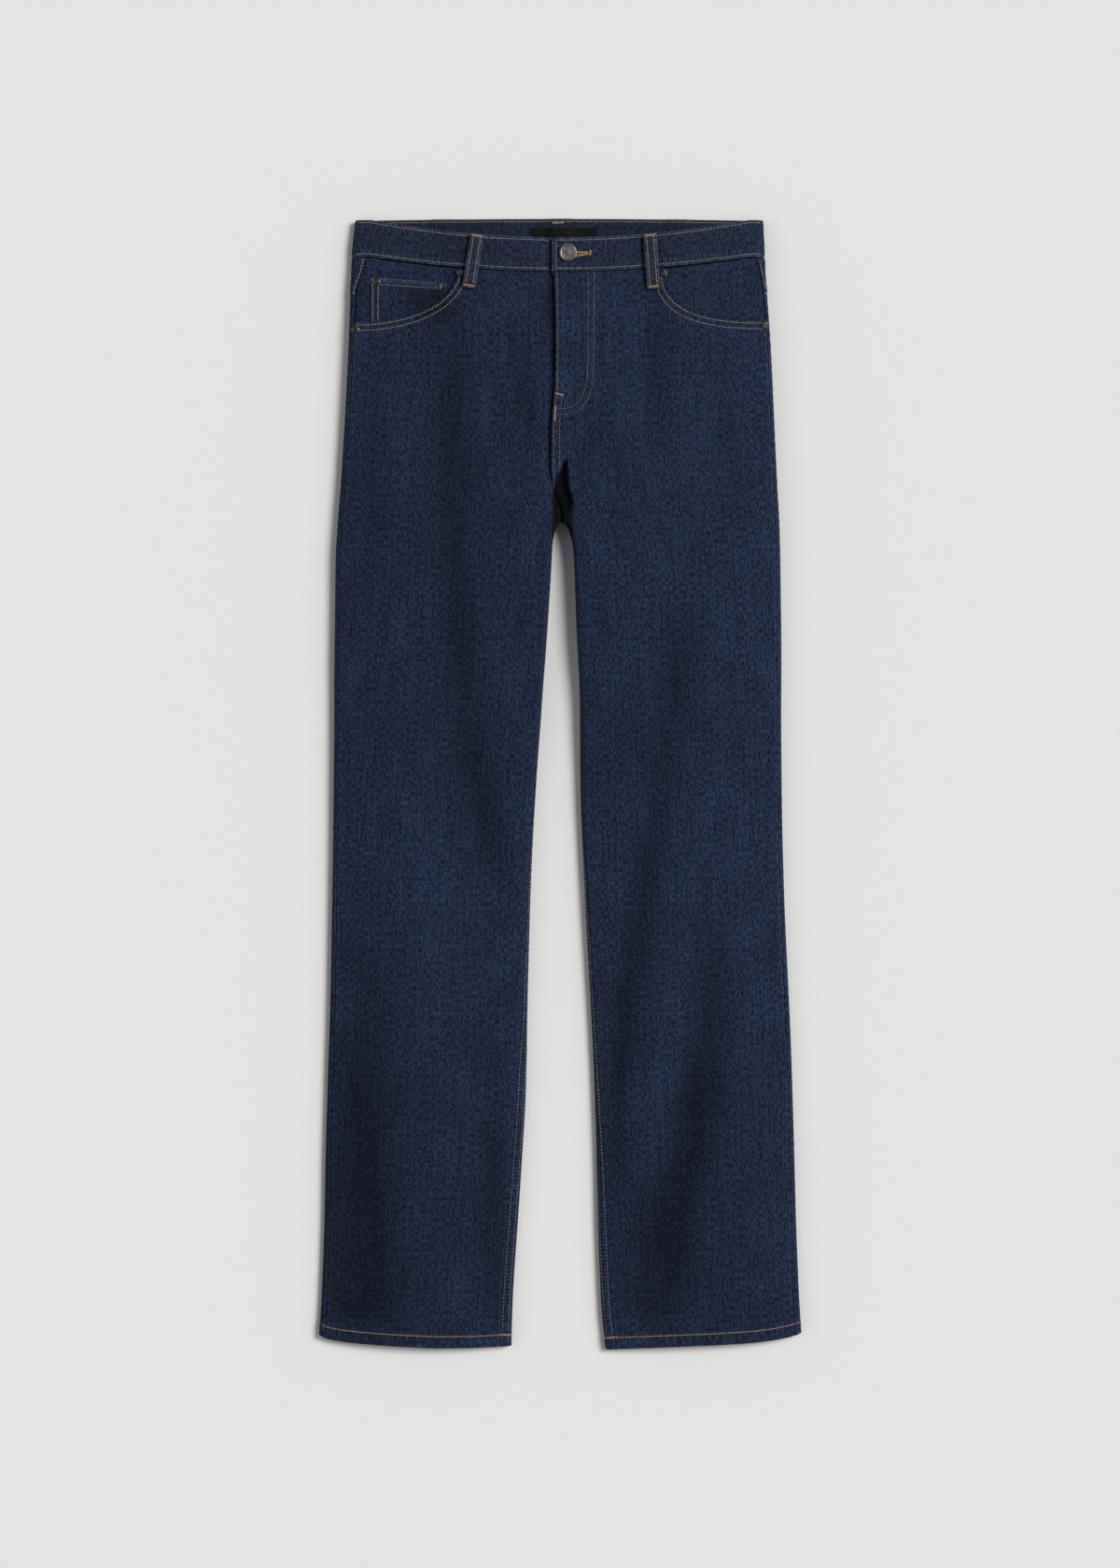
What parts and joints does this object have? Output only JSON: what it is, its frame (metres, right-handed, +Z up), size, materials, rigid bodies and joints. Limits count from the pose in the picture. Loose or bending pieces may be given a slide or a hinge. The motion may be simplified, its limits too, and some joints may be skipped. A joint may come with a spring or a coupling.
{
  "type": "bootcut jeans",
  "caption": "Dark denim jeans laid flat, front up, with scooped pockets, a coin pocket, a buttoned waistband and slightly flared legs.",
  "frame": {"origin": "on the surface that the jeans lie on, under the middle of their bounding box", "axes": "+X to the wearer's left, +Y up the garment from the hems to the waist, +Z up from the surface, out of the front"},
  "size_m": [0.4774, 1.121, 0.0215],
  "materials": {
    "denim": "dark indigo twill, matt, orange-brown topstitching",
    "label": "black woven",
    "metal": "antique nickel"
  },
  "bodies": {
    "root": {"front_leg_right": "denim", "front_leg_left": "denim", "back_leg_right": "denim", "back_leg_left": "denim", "back_yoke_right": "denim", "back_yoke_left": "denim", "pocket_facing_right": "denim", "pocket_facing_left": "denim", "coin_pocket": "denim", "waistband_front_right": "denim", "waistband_front_left": "denim", "waistband_back": "denim", "belt_loop_front_right": "denim", "belt_loop_front_left": "denim", "belt_loop_back_right": "denim", "belt_loop_back_left": "denim", "belt_loop_back_centre": "denim", "back_pocket_right": "denim", "back_pocket_left": "denim", "waist_label": "label", "waist_button": "metal", "rivet_mouth_right": "metal", "rivet_mouth_left": "metal", "rivet_side_right": "metal", "rivet_side_left": "metal", "rivet_coin_side": "metal", "rivet_coin_inner": "metal"}
  },
  "joints": []
}
